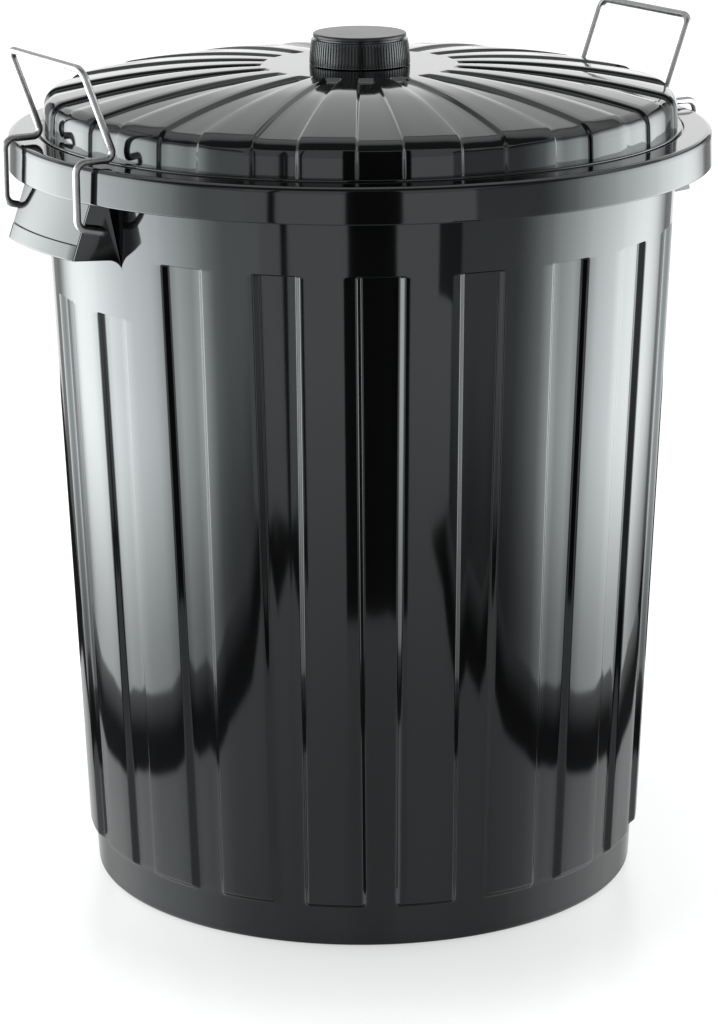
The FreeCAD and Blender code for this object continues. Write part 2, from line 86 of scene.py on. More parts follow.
tub_high = box_mm("tub")[1]
lid_low, lid_high = box_mm("lid")
cap_box_low, cap_box_high = box_mm("cap")
rim_height = tub_high[2]
rim_radius = tub_high[1]
seat_height = lid_low[2]
flange_radius = lid_high[0]
neck_top = lid_high[2]
cap_low = cap_box_low[2]
cap_top = cap_box_high[2]
cap_radius = cap_box_high[1]
wall = 3.0
print(f"rim at {rim_height} mm with a radius of {rim_radius} mm")
print(f"lid from {seat_height} mm, cap top at {cap_top} mm")

# %% [markdown]
# ## From a grid of points to a mesh
#
# A turned, swept or extruded piece is a stack of closed loops. Blender's Screw modifier or a curve
# with a bevel could make the plain ones, but the ribs need every point worked out. Joining each loop
# to the next with four-sided faces makes the skin, and the stack is either closed into a ring or ends
# in two flat caps. The signed volume tells whether the faces look outwards; if it comes out negative,
# the order of the points is turned round.

# %% Make a mesh from a stack of loops
SHARP_EDGE = math.radians(40)


def skin(name, loops, body, slot, ring=False):
    """Mesh over loops (rows, points, xyz) in millimetres, riding on a body of the frame.

    Faces join point (i, j) to (i, j+1), (i+1, j+1) and (i+1, j). With a, b, c, d the corners of a
    face seen from the middle of the piece, the volume is the sum of a . (b x c + c x d) / 6.
    """
    rows, count = loops.shape[:2]
    points = loops.reshape(-1, 3) * MM
    index = np.arange(rows * count).reshape(rows, count)
    low = index if ring else index[:-1]
    high = np.roll(index, -1, axis=0) if ring else index[1:]
    corners = [low, np.roll(low, -1, axis=1), np.roll(high, -1, axis=1), high]
    quads = np.stack(corners, axis=-1).reshape(-1, 4)
    middle = points.mean(0)
    a, b, c, d = (points[quads[:, k]] - middle for k in range(4))
    volume = np.einsum("ij,ij", a, np.cross(b, c) + np.cross(c, d)) / 6
    caps = [] if ring else [index[0, ::-1], index[-1]]
    if volume < 0:
        quads = quads[:, ::-1]
        caps = [cap[::-1] for cap in caps]
    mesh = bpy.data.meshes.new(name)
    mesh.from_pydata(points, [], quads.tolist() + [cap.tolist() for cap in caps])
    mesh.polygons.foreach_set("use_smooth", np.ones(len(mesh.polygons), bool))
    mesh.set_sharp_from_angle(angle=SHARP_EDGE)
    mesh.update()
    piece = bpy.data.objects.new(name, mesh)
    bpy.context.scene.collection.objects.link(piece)
    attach(piece, body)
    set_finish(piece, slot)
    print(f"{name}: {len(points)} points, {len(mesh.polygons)} faces")
    return piece


print(f"edges sharper than {math.degrees(SHARP_EDGE):.0f} degrees are shaded as edges")

# %% [markdown]
# ## Soft steps and rounded corners
#
# A moulding has no perfectly sharp bend. A Bevel modifier could round the edges afterwards, but it
# would fight with the close rows of the ribs, so the roundness is part of the formulas: a soft ramp
# leads from one level to another, and the corners of an outline become arcs. A point on the straight
# side close to each arc keeps the flat parts flat in the shading.

# %% Ramps, arcs and rows
def soft_ramp(t, ease=0.2):
    """0 below 0, 1 above 1 and straight between, with both corners rounded: bend(t) - bend(t - 1).

    bend is 0, then the parabola (t + ease)^2 / (4 ease), then t itself.
    """
    def bend(s):
        return np.where(s > ease, s, np.where(s > -ease, (s + ease) ** 2 / (4 * ease), 0.0))

    return bend(t) - bend(t - 1)


def unit(v):
    """Vectors divided by their lengths."""
    return v / np.linalg.norm(v, axis=-1, keepdims=True)


def rounded(corners, roundings, steps=4, hold=0.5, closed=False):
    """Points along straight sides with round corners, in two or three dimensions.

    An arc about middle runs from a to b, each a reach of radius / tan(half angle) from the corner:
    middle + (sin((1-t)s) a + sin(ts) b) / sin(s), with s the angle it turns. Points at the distance
    hold before and after it keep the straight sides straight.
    """
    spots = np.array(corners, float)
    count = len(spots)
    inner = range(count) if closed else range(1, count - 1)
    stretches = [] if closed else [spots[:1]]
    for i in inner:
        spot, radius = spots[i], roundings[i]
        back = unit(spots[i - 1] - spot)
        ahead = unit(spots[(i + 1) % count] - spot)
        if radius == 0:
            stretches.append(spot[None])
            continue
        half = 0.5 * np.arccos(np.clip(back @ ahead, -1, 1))
        reach = radius / np.tan(half)
        middle = spot + unit(back + ahead) * radius / np.sin(half)
        turn = np.pi - 2 * half
        t = np.linspace(0, 1, steps + 1)[:, None]
        a, b = spot + back * reach - middle, spot + ahead * reach - middle
        arc = middle + (np.sin((1 - t) * turn) * a + np.sin(t * turn) * b) / np.sin(turn)
        stretches += [arc[:1] + back * hold, arc, arc[-1:] + ahead * hold]
    if not closed:
        stretches.append(spots[-1:])
    return np.concatenate(stretches)


def across(radius, offset):
    """X of a point on a circle about Z that lies this far off the X axis: sqrt(r^2 - y^2)."""
    return np.sqrt(radius**2 - offset**2)


def rows_between(*runs):
    """One column of numbers from runs of (start, end, how many), evenly spaced within each run."""
    return np.concatenate([np.linspace(*run) for run in runs])


print("a soft ramp from below 0 to above 1:", soft_ramp(np.linspace(-0.2, 1.2, 8)).round(2))

# %% [markdown]
# ## Columns that follow the ribs
#
# Twenty ribs and sunk panels go round the tub, and twenty raised and sunk sectors round the lid. A
# grid that is even in angle would need thousands of columns to catch their edges. Here the columns of
# one pitch are shared out: a few on each flat face and most on the slanted sides. The
# stretches are as wide as the ribs are at each height.

# %% Share out the columns of one pitch
PANELS = 20
pitch = 2 * np.pi / PANELS
COLUMNS = (2, 9, 2, 2, 9, 2)


def fan_out(edges):
    """Angles of all columns, for rows of stretch edges given as angles from a panel's middle.

    A column a fraction f along stretch k stands at edge k * (1 - f) + edge (k+1) * f. The pitch is
    then repeated. Gives the angles from each panel's own middle, and those round the whole piece.
    """
    stretch = np.repeat(np.arange(len(COLUMNS)), COLUMNS)
    along = np.concatenate([np.arange(n) / n for n in COLUMNS])
    local = edges[:, stretch] * (1 - along) + edges[:, stretch + 1] * along
    middles = np.repeat((np.arange(PANELS) + 0.5) * pitch, len(stretch))
    local = np.tile(local, PANELS)
    return local, local + middles


def turned(radius, angle, z):
    """Points (r cos, r sin, z) of a turned surface."""
    return np.stack(
        [radius * np.cos(angle), radius * np.sin(angle), np.broadcast_to(z, radius.shape)], axis=-1)


print(f"{sum(COLUMNS) * PANELS} columns round the tub and the lid")

# %% [markdown]
# ## The tub
#
# The tub is one thin moulding: a tapering wall with sunk panels between broad ribs, a plain band and
# a foot at the bottom, and a rim that turns out and hangs down as a skirt. The panels could be cut
# out of a cone with booleans, but that leaves ragged faces that gloss would show. Here the radius is
# a function of angle and height, so the panels are soft ramps taken off a plain cone. The inside has
# the matching hollows behind the ribs.

# %% Sizes of the tub
mouth_radius = rim_radius - 24.4
seat_radius = mouth_radius + 3.6
skirt_low = rim_height - 24.5
skirt_flare = 0.8
rim_under = seat_height - wall
foot_radius = 202.3
foot_height = 4.0
foot_width = 11.0
floor_top = foot_height + wall
base_core = 30.0
band_low = 6.0
band_step = 0.3
panel_depth = 4.0
panel_slope = 3.6
panel_top = rim_height - 64.0
handle_panel_top = rim_height - 107.3
inner_top = panel_top + wall
rib_half = 18.5
rib_end = 33.0
rib_end_slope = 4.0
ledge = 1.2
hollow_half = 21.1
hollow_run = 4.1
print(f"mouth radius {mouth_radius:.1f} mm, panels from {rib_end} to {panel_top:.1f} mm")

# %% Roundings and rows of the tub
base_round = 0.8
foot_inner_round = 0.6
foot_round = 2.5
under_rim_round = 1.0
skirt_round = 0.9
rim_round = 4.0
seat_lip_round = 0.7
seat_round = 0.5
mouth_round = 0.8
side_margin = 0.8
row_margin = 1.0
row_gap = 5.0
wall_top = rim_under - 2 * row_margin
print(f"close rows reach {row_margin} mm past each bend, and plain rows keep {row_gap} mm away")


# %% Radius of the tub's wall
def rib_face(z):
    """Radius of the rib faces: a straight taper from the floor to the mouth."""
    return foot_radius + (mouth_radius - foot_radius) * z / rim_height


def half_panel(z):
    """Half the width of a panel with its slanted sides: r sin(pitch / 2), less half a rib."""
    return rib_face(z) * np.sin(pitch / 2) - rib_half


def panel_edges(z):
    """Edges of rib, slanted side and floor at each height, as angles from the middle of a panel."""
    z = np.clip(z, rib_end, panel_top)
    outer = np.arcsin((half_panel(z) + side_margin) / rib_face(z))
    inner = np.arcsin((half_panel(z) - panel_slope - side_margin) / rib_face(z))
    end = np.full_like(z, pitch / 2)
    return np.stack([-end, -outer, -inner, 0 * z, inner, outer, end], axis=-1)


def outer_wall(local, z, top):
    """Rib face, less the panel's depth where it is sunk, and down at the band below the rib ends.

    The depth of the panel is its ramp across, times a ramp at its top, times one at the rib ends.
    """
    face = rib_face(z)
    sunk = soft_ramp((half_panel(z) - face * np.sin(np.abs(local))) / panel_slope)
    sunk = sunk * (1 - soft_ramp((z - top + ledge) / ledge))
    ribs = soft_ramp((z - rib_end + rib_end_slope) / rib_end_slope)
    return face - (panel_depth + band_step) * (1 - ribs) - panel_depth * sunk * ribs


def inner_wall(local, z):
    """One wall inside the panel floors, with a hollow behind each rib and all of it hollow above."""
    inside = rib_face(z) - wall
    from_rib = inside * np.sin(pitch / 2 - np.abs(local))
    hollow = soft_ramp((hollow_half - from_rib) / hollow_run)
    hollow = hollow * soft_ramp((z - rib_end - rib_end_slope) / ledge)
    hollow = np.maximum(hollow, soft_ramp((z - inner_top) / ledge))
    return inside - panel_depth * (1 - hollow)


print(f"rib faces taper from {rib_face(rim_height):.1f} to {rib_face(0):.1f} mm in radius")


# %% Rows and outlines of the tub
def tub_rows():
    """Heights of the rows up the outside and down the inside: close at each bend, wide between."""
    hollow_end = rib_end + rib_end_slope
    outside = rows_between(
        (band_low, rib_end - row_gap - row_margin, 4),
        (rib_end - rib_end_slope - row_margin, rib_end + 2 * row_margin, 12),
        (rib_end + row_gap + row_margin, handle_panel_top - row_gap - row_margin, 16),
        (handle_panel_top - ledge - row_margin, handle_panel_top + row_margin, 9),
        (handle_panel_top + row_gap, panel_top - row_gap, 4),
        (panel_top - ledge - row_margin, panel_top + row_margin, 9),
        (panel_top + row_gap, wall_top, 5))
    inside = rows_between(
        (wall_top, inner_top + row_gap - row_margin, 4),
        (inner_top + 1.5 * row_margin, inner_top - row_margin / 2, 6),
        (inner_top - row_gap - row_margin, rib_end + 2 * row_gap, 8),
        (hollow_end + 2 * row_margin, hollow_end - row_margin, 6),
        (rib_end - rib_end_slope, floor_top + wall + row_margin, 3))
    return outside, inside


def tub_outlines():
    """Outlines (radius, z) of the plain turned parts: the underside, the rim and the floor inside."""
    foot_edge = rib_face(0) - panel_depth - band_step
    foot_inside = foot_edge - foot_width
    floor_edge = rib_face(floor_top) - panel_depth - wall
    under = rounded(
        [(base_core, foot_height), (foot_inside, foot_height), (foot_inside, 0), (foot_edge, 0),
         (foot_edge, band_low)],
        [0, base_round, foot_inner_round, foot_round, 0])
    rim = rounded(
        [(rib_face(wall_top), wall_top), (rib_face(rim_under), rim_under),
         (rim_radius - skirt_flare - wall, rim_under), (rim_radius - wall, skirt_low),
         (rim_radius, skirt_low), (rim_radius - skirt_flare, rim_height), (seat_radius, rim_height),
         (seat_radius, seat_height), (mouth_radius - wall, seat_height),
         (rib_face(wall_top) - wall, wall_top)],
        [0, under_rim_round, under_rim_round, skirt_round, skirt_round, rim_round, seat_lip_round,
         seat_round, mouth_round, 0])
    floor = rounded(
        [(floor_edge, floor_top + wall + row_margin), (floor_edge, floor_top), (base_core, floor_top)],
        [0, wall, 0])
    return under, rim, floor


print("rows up the outside and down the inside:", *(len(rows) for rows in tub_rows()))


# %% Build the tub
def tub_loops():
    """Loops from the middle of the underside, up the outside, over the rim and down to the floor.

    The four panels beside the brackets end lower than the others.
    """
    under, rim, floor = tub_outlines()
    outside_z, inside_z = tub_rows()
    by_bracket = np.isin(np.arange(PANELS), (0, PANELS // 2 - 1, PANELS // 2, PANELS - 1))
    top = np.repeat(np.where(by_bracket, handle_panel_top, panel_top), sum(COLUMNS))

    def fluted(z, radius_at):
        local, angle = fan_out(panel_edges(z))
        return turned(radius_at(local, z[:, None]), angle, z[:, None])

    def plain(outline):
        return fluted(outline[:, 1], lambda local, z: np.broadcast_to(outline[:, :1], local.shape))

    return np.concatenate([
        plain(under),
        fluted(outside_z, lambda local, z: outer_wall(local, z, top)),
        plain(rim[1:-1]),
        fluted(inside_z, inner_wall),
        plain(floor[1:])])


tub_shell = skin("tub_shell", tub_loops(), "tub", "black_plastic")
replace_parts(tub_shell, "tub")

# %% [markdown]
# ## The handle brackets
#
# Under the rim, on two sides, a leaning face with a thicker grip strip along its lower edge spans two
# upright sides. A bevelled box would miss the curve of the face and the way the sides run into the
# wall. So the face is a profile carried round a short arc, and each side is an outline carried
# through its own thickness, with a sweep from its lower edge into the wall. They overlap the tub, as
# the parts of one moulding do.

# %% Sizes of the brackets
handle_half = 51.0
handle_lip = 257.6
handle_root = 237.2
handle_low = rim_height - 63.3
handle_sweep = 12.0
sweep_drop = 1.6 * handle_sweep
grip_height = 10.5
grip_raise = 1.5
lip_round = 1.0
crease_round = 0.4
edge_round = 0.6
bevel_step = 0.3
side_top = rim_under + wall / 2
face_stations = 33
print(f"brackets {2 * handle_half} mm wide, from {handle_low:.1f} mm up to the rim")


# %% Build the brackets
def face_radius(z):
    """Radius of the bracket's leaning face at a height: a straight line from root to lip."""
    return handle_root + (handle_lip - handle_root) * (rim_under - z) / (rim_under - handle_low)


def bracket_face(side):
    """Closed profile (radius, z) carried along Y over the bracket's width: x = sqrt(radius^2 - y^2).

    The grip strip, which is what stands out from the leaning face, runs down to nothing at both ends.
    """
    grip_top = handle_low + grip_height
    profile = rounded(
        [(face_radius(side_top) - wall, side_top), (face_radius(side_top), side_top),
         (face_radius(grip_top), grip_top), (face_radius(grip_top) + grip_raise, grip_top),
         (face_radius(handle_low) + grip_raise, handle_low),
         (face_radius(handle_low) - wall, handle_low)],
        [edge_round, edge_round, crease_round, edge_round, lip_round, edge_round], closed=True)
    half = handle_half - wall / 2
    y = np.linspace(-half, half, face_stations)[:, None]
    raised = np.maximum(profile[:, 0] - face_radius(profile[:, 1]), 0)
    lowered = raised * (1 - soft_ramp((half - wall / 2 - np.abs(y)) / grip_raise))
    radius = profile[:, 0] - lowered
    return np.stack([side * across(radius, y), y + 0 * radius, profile[:, 1] + 0 * radius], axis=-1)


def bracket_side(side, end):
    """Outline in X and Z carried through the thickness of the side, drawn in a little at both faces.

    Three rows at each face, at growing distances from it, are drawn in less and less along the
    outline's inward normal, which breaks the edge.
    """
    foot = handle_low - sweep_drop
    corner = handle_low - wall
    outline = rounded(
        [(across(rib_face(side_top) - wall / 2, handle_half), side_top),
         (across(face_radius(side_top), handle_half), side_top),
         (across(face_radius(handle_low), handle_half), handle_low),
         (across(rib_face(corner) - wall / 4, handle_half), corner),
         (across(rib_face(foot) - wall / 2, handle_half), foot)],
        [edge_round, edge_round, lip_round, handle_sweep, edge_round], steps=8, closed=True)
    tangent = unit(np.roll(outline, -1, 0) - np.roll(outline, 1, 0))
    inward = np.stack([tangent[:, 1], -tangent[:, 0]], axis=-1)
    depth = edge_round * np.array([0, bevel_step, 1])
    bevel = edge_round * np.array([1, bevel_step, 0])
    y = handle_half - wall + np.concatenate([depth, wall - depth[::-1]])
    flat = outline + inward * np.concatenate([bevel, bevel[::-1]])[:, None, None]
    x, z = side * flat[..., 0], flat[..., 1]
    return np.stack([x, np.broadcast_to(end * y[:, None], x.shape), z], axis=-1)


for side, hand in ((1, "right"), (-1, "left")):
    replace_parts(skin(f"handle_face_{hand}", bracket_face(side), "tub", "black_plastic"), "tub")
    for end, place in ((1, "back"), (-1, "front")):
        name = f"handle_side_{hand}_{place}"
        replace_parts(skin(name, bracket_side(side, end), "tub", "black_plastic"), "tub")

# %% [markdown]
# ## The lid
#
# The lid is a shallow dome with a flat disc in the middle, a rounded shoulder, a short wall and a
# flange that sits in the rim. Every second sector is sunk, from the edge of the disc out over the
# shoulder and down the wall. Displacing a plain dome along Z would make the steps too thin on the
# wall, so the dome is a profile, and a sunk sector moves each point of it inwards along the profile's
# own normal.

# %% Sizes of the lid
flange_top = seat_height + 3.2
lid_radius = flange_radius - 3.0
flange_start = lid_radius + 0.8
shoulder_radius = lid_radius - 1.0
shoulder_height = flange_top + 23.7
shoulder_round = 13.0
disc_radius = 68.5
disc_height = flange_top + 42.1
neck_radius = 28.5
neck_run = disc_radius - 6.0
sector_step = 2.3
sector_wall = 0.9
sector_ease = 0.3
sunk_share = 0.44
sector_half = pitch * sunk_share / 2
ramp_start = 0.5
ramp_length = 5.0
hollow_start = 2 * ramp_length
hollow_ramp = 2.0
hollow_margin = math.radians(2.1)
hollow_sector_half = (pitch * (1 - sunk_share) - hollow_margin) / 2
neck_root_round = 0.8
neck_lip_round = 0.5
flange_round = 0.9
flange_low_round = 0.6
ramp_rows = np.array([-3, -1, 0, 0.6, 1.2, 2, 3, 4, 4.6, 5.2, 6, 9])
dome_row_start = 16.0
dome_rows = 17
print(f"dome rises {disc_height - flange_top:.1f} mm over the flange, with steps of {sector_step} mm")


# %% Profile and columns of the dome
def dome_profile():
    """Dome from the disc's edge over the shoulder to the foot of the wall, and the normals along it.

    With t the way out from the disc to the shoulder, the dome falls by drop * t^2: flat at first and
    steepest outside. The rows are close where the sunk sectors begin.
    """
    radius = np.concatenate([
        disc_radius + ramp_rows,
        np.linspace(disc_radius + dome_row_start, shoulder_radius - shoulder_round, dome_rows)])
    way_out = np.clip((radius - disc_radius) / (shoulder_radius - disc_radius), 0, 1)
    drop = disc_height - shoulder_height
    dome = np.stack([radius, disc_height - drop * way_out**2], axis=-1)
    edge = rounded(
        [dome[-1], (shoulder_radius, shoulder_height), (lid_radius, flange_top)],
        [0, shoulder_round, 0], steps=9)
    outline = np.concatenate([dome[:-1], edge])
    along = unit(np.gradient(outline, axis=0))
    return outline, np.stack([-along[:, 1], along[:, 0]], axis=-1)


def sector_edges(radius):
    """Edges of raised sector, step and sunk sector, as angles from the middle of a sunk sector."""
    half_wall = sector_wall * (1 + 2 * sector_ease) / radius
    outer = sector_half + half_wall
    inner = sector_half - half_wall
    end = np.full_like(radius, pitch / 2)
    return np.stack([-end, -outer, -inner, 0 * radius, inner, outer, end], axis=-1)


print(f"the dome's profile has {len(dome_profile()[0])} points")


# %% Build the lid
def sector_ramp(distance, ease=0.2):
    """Soft step centred on a distance of 0, two sector walls long."""
    return soft_ramp(distance / (2 * sector_wall) + 0.5, ease)


def lid_ring(corners, roundings):
    """A plain turned outline on the same columns as the dome."""
    ring = rounded(corners, roundings)
    angle = fan_out(sector_edges(ring[:, 0]))[1]
    return turned(np.broadcast_to(ring[:, :1], angle.shape), angle, ring[:, 1:])


def dome_loops():
    """Top and underside of the dome: profile - normal * depth, with another depth in each sector.

    On top the depth is the step where a sector is sunk. Below it is one wall plus the step, less the
    hollow behind each raised sector.
    """
    outline, normal = dome_profile()
    radius = outline[:, :1]
    local, angle = fan_out(sector_edges(outline[:, 0]))

    def moved_in(depth):
        return turned(radius - normal[:, :1] * depth, angle, outline[:, 1:] - normal[:, 1:] * depth)

    past_disc = radius - disc_radius
    sunk = sector_ramp((sector_half - np.abs(local)) * radius, sector_ease)
    sunk = sunk * soft_ramp((past_disc - ramp_start) / (ramp_length - ramp_start))
    hollow = sector_ramp((hollow_sector_half - (pitch / 2 - np.abs(local))) * radius)
    hollow = hollow * soft_ramp((past_disc - hollow_start) / hollow_ramp)
    thicker = soft_ramp((past_disc + wall / 2) / (ramp_length + wall / 2)) * (1 - hollow)
    return moved_in(sector_step * sunk), moved_in(wall + sector_step * thicker)[::-1]


def lid_loops():
    """Loops from the neck out over the dome to the flange, and back below to the neck."""
    top, below = dome_loops()
    at_foot = below[:1].copy()
    at_foot[..., 2] = seat_height
    neck_inside = neck_radius - wall
    disc_low = disc_height - wall
    neck = lid_ring(
        [(neck_run, disc_low), (neck_inside, disc_low), (neck_inside, neck_top),
         (neck_radius, neck_top), (neck_radius, disc_height), (neck_run, disc_height)],
        [0, neck_root_round, neck_lip_round, neck_lip_round, neck_root_round, 0])
    flange = lid_ring(
        [(flange_start, flange_top), (flange_radius, flange_top), (flange_radius, seat_height),
         (flange_start, seat_height)],
        [0, flange_round, flange_low_round, 0])
    return np.concatenate([neck, top, flange, at_foot, below])


lid_shell = skin("lid_shell", lid_loops(), "lid", "black_plastic", ring=True)
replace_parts(lid_shell, "lid")

# %% [markdown]
# ## The cap
#
# The knob is a ribbed screw cap. Its side has close upright ribs for grip, leaning in a little, with
# a groove above them and a flat disc on top. The ribs could be a bump in the material, but they show
# in the outline. They are flat, with a narrow groove between them, and they are added to the radius
# only over the rows of the side. Most columns of a rib's pitch stand where the groove bends.

# %% Sizes of the cap
cap_ribs = 96
rib_spots = np.array([0, 0.12, 0.24, 0.31, 0.36, 0.41, 0.46, 0.54, 0.59, 0.64, 0.69, 0.76, 0.88])
rib_middle = 0.5
groove_half = 0.23
groove_run = 0.11
cap_rib_depth = 0.8
cap_lean = 1.6
cap_groove = 1.6
cap_disc = 2.8
cap_disc_edge = cap_radius - 2.9
cap_bore = neck_radius + 1.5
cap_core = 4.0
rib_ledge = 1.0
bore_round = 0.5
groove_round = 0.3
disc_under_round = 0.4
side_edge = 0.06
side_inner = 0.2
rib_fade = 0.25
rib_least = 0.03
print(f"cap of {2 * cap_radius:.1f} mm with {cap_ribs} ribs")


# %% Build the cap
def cap_loops():
    """Loops from the ceiling inside, down the bore, up the ribbed side and over the top disc.

    A rib's height is its depth, times 1 - groove across the rib, times sin(pi t)^(1/4) up the side.
    """
    rib_top = cap_top - cap_disc - cap_groove
    ceiling = rib_top + cap_groove / 2
    disc_low = rib_top + cap_groove
    core_low = cap_radius - cap_rib_depth
    core_high = core_low - cap_lean
    groove_radius = cap_disc_edge - cap_groove
    inside = rounded(
        [(cap_core, ceiling), (cap_bore, ceiling), (cap_bore, cap_low),
         (core_low - rib_ledge, cap_low)],
        [0, bore_round, bore_round, 0], hold=0.3)
    t = rows_between((0, side_edge, 4), (side_inner, 1 - side_inner, 4), (1 - side_edge, 1, 4))
    side = np.stack(
        [core_low + (core_high - core_low) * t, cap_low + (rib_top - cap_low) * t], axis=-1)
    over = rounded(
        [(core_high - rib_ledge, rib_top), (groove_radius, rib_top), (groove_radius, disc_low),
         (cap_disc_edge, disc_low), (cap_disc_edge, cap_top), (cap_core, cap_top)],
        [0, groove_round, groove_round, disc_under_round, cap_disc / 2, 0], hold=0.2)
    outline = np.concatenate([inside, side, over])
    up_side = np.sin(np.pi * np.clip(t, rib_least, 1 - rib_least)) ** rib_fade
    ribbed = np.concatenate([np.zeros(len(inside)), up_side, np.zeros(len(over))])
    angle = (np.arange(cap_ribs)[:, None] + rib_spots).reshape(-1) * 2 * np.pi / cap_ribs
    groove = soft_ramp((groove_half - np.abs(rib_spots - rib_middle)) / groove_run)
    wave = np.tile(1 - groove, cap_ribs)
    radius = outline[:, :1] + cap_rib_depth * ribbed[:, None] * wave
    return turned(radius, np.broadcast_to(angle, radius.shape), outline[:, 1:])


cap_knob = skin("cap_knob", cap_loops(), "cap", "cap_plastic")
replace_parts(cap_knob, "cap")

# %% [markdown]
# ## The wire clamps
#
# Each clamp is one length of round wire: two pins in the bracket's sides, two legs up past the rim,
# two hooks over it and a lever that joins them. A curve object with a round bevel would do, but its
# ends and bends are easier to control as a mesh. The route is a handful of corners with round bends,
# and the wire is a circle carried along it. Any two directions across the wire will do for the
# circle, so a fixed slanting one starts them.

# %% Sizes of the wire
wire = 5.0
wide_bend = 1.5 * wire
pin_reach = 229.5
pin_height = rim_height - 45.3
pin_inner = handle_half - wall - wire
pin_tip = 0.8
clamp_half = 56.0
leg_radius = rim_radius + 1.5 * wire
hook_radius = flange_radius + wire / 4
hook_height = rim_height + 4.1
lever_reach = 245.0
lever_height = rim_height + 65.7
slant = unit(np.array([-0.5, 0.7, 0.5]))
bend_steps = 10
points_around = 24
print(f"{wire} mm wire, lever {lever_height - rim_height:.1f} mm above the rim")


# %% Build the wire clamps
def wire_route():
    """Points along the middle of the wire, from one pin over the lever to the other."""
    leg = across(leg_radius, clamp_half)
    hook_end = across(hook_radius, clamp_half)
    corners = np.array([
        (pin_reach, pin_inner, pin_height),
        (pin_reach, clamp_half, pin_height),
        (leg, clamp_half, pin_height + wire),
        (leg, clamp_half, hook_height),
        (hook_end, clamp_half, hook_height),
        (lever_reach, clamp_half, lever_height)])
    bends = [0, wire, wide_bend, wide_bend, wire, wide_bend]
    other = corners[::-1] * (1, -1, 1)
    return rounded(np.concatenate([corners, other]), bends + bends[::-1], steps=bend_steps)


def wire_loops(side):
    """Circles about the route: sideways = tangent x slant, upward = tangent x sideways.

    The first and last circle are smaller, with a full one a tip's length on, which breaks the edge
    of the pins' ends.
    """
    route = wire_route()
    first = route[:1] + unit(route[1:2] - route[:1]) * pin_tip
    last = route[-1:] + unit(route[-2:-1] - route[-1:]) * pin_tip
    route = np.concatenate([route[:1], first, route[1:-1], last, route[-1:]])
    tangent = unit(np.gradient(route, axis=0))
    sideways = unit(np.cross(tangent, slant))
    upward = np.cross(tangent, sideways)
    radius = np.full((len(route), 1, 1), wire / 2)
    radius[[0, -1]] -= pin_tip / 2
    turn = np.linspace(0, 2 * np.pi, points_around, endpoint=False)[None, :, None]
    circle = np.cos(turn) * sideways[:, None] + np.sin(turn) * upward[:, None]
    return (route[:, None] + radius * circle) * (side, 1, 1)


for side, hand in ((1, "right"), (-1, "left")):
    clamp = skin(f"clamp_wire_{hand}", wire_loops(side), f"clamp_{hand}", "steel_wire")
    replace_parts(clamp, f"clamp_{hand}")

# %% [markdown]
# ## Writing shader maths as Python
#
# A material's numbers travel along sockets. The nodes could be placed and linked one by one, but
# wrapping a socket in a small class lets Python's own operators add the Math nodes, so a pattern
# reads like a formula. Every other node comes from one method.

# %% A socket that does arithmetic
class Shade:
    """A socket of a node tree. Sums, differences and products of it add Math nodes."""

    def __init__(self, tree, socket=None):
        self.tree = tree
        self.socket = socket

    def node(self, kind, inputs, out=0, **settings):
        """Add a node: its settings, then the values or links of its sockets. Gives back one output."""
        made = self.tree.nodes.new(kind)
        for key, value in settings.items():
            setattr(made, key, value)
        for key, value in inputs.items():
            if isinstance(value, Shade):
                self.tree.links.new(value.socket, made.inputs[key])
            else:
                made.inputs[key].default_value = value
        return Shade(self.tree, made.outputs[out] if made.outputs else None)

    def maths(self, operation, a, b):
        """A Math node of two values."""
        return self.node("ShaderNodeMath", {0: a, 1: b}, operation=operation)

    def __add__(self, other):
        return self.maths("ADD", self, other)

    def __sub__(self, other):
        return self.maths("SUBTRACT", self, other)

    def __rsub__(self, other):
        return self.maths("SUBTRACT", other, self)

    def __mul__(self, other):
        return self.maths("MULTIPLY", self, other)

    __radd__ = __add__
    __rmul__ = __mul__


print("operators of a shade: +, - and *, from both sides")

# %% [markdown]
# ## Small tools for materials
#
# Every material here starts empty, reads a place on the object and ends in a shader. A few functions
# for the steps that repeat keep each finish short: a smooth change between two levels, slow or fine
# noise, and a mix of two colours, which has sockets for several kinds of value in one node.

# %% Start, fade, noise and mix
MIX_FACTOR, MIX_FIRST, MIX_SECOND, MIX_RESULT = 0, 6, 7, 2


def new_material(name):
    """An empty material and the start of its shader maths."""
    material = bpy.data.materials.new(name)
    material.use_nodes = True
    material.node_tree.nodes.clear()
    return material, Shade(material.node_tree)


def own_place(start):
    """The place on the piece itself, in metres."""
    return start.node("ShaderNodeTexCoord", {}, out="Object")


def finish_material(start, kind, inputs):
    """Add the last shader and link it to the output."""
    start.node("ShaderNodeOutputMaterial", {"Surface": start.node(kind, inputs)})


def fade(value, start_at, end_at, start_level, end_level):
    """A smooth change from one level to another between two values: 3t^2 - 2t^3."""
    return value.node(
        "ShaderNodeMapRange",
        {"Value": value, "From Min": start_at, "From Max": end_at,
         "To Min": start_level, "To Max": end_level},
        interpolation_type="SMOOTHSTEP")


def noise(place, scale, detail):
    """Noise with features of about 1 / scale metres."""
    return place.node("ShaderNodeTexNoise", {"Vector": place, "Scale": scale, "Detail": detail})


def bumped(height, depth):
    """A normal that follows a height of 0 to 1 over a depth in metres."""
    return height.node("ShaderNodeBump", {"Height": height, "Strength": 1.0, "Distance": depth})


def mixed(factor, first, second):
    """A colour between two others."""
    return factor.node(
        "ShaderNodeMix", {MIX_FACTOR: factor, MIX_FIRST: (*first, 1), MIX_SECOND: (*second, 1)},
        out=MIX_RESULT, data_type="RGBA")


def height_of(place):
    """Height of a place above the floor, in metres."""
    return place.node("ShaderNodeSeparateXYZ", {"Vector": place}, out="Z")


print("tools ready: own_place, fade, noise, bumped, mixed and height_of")

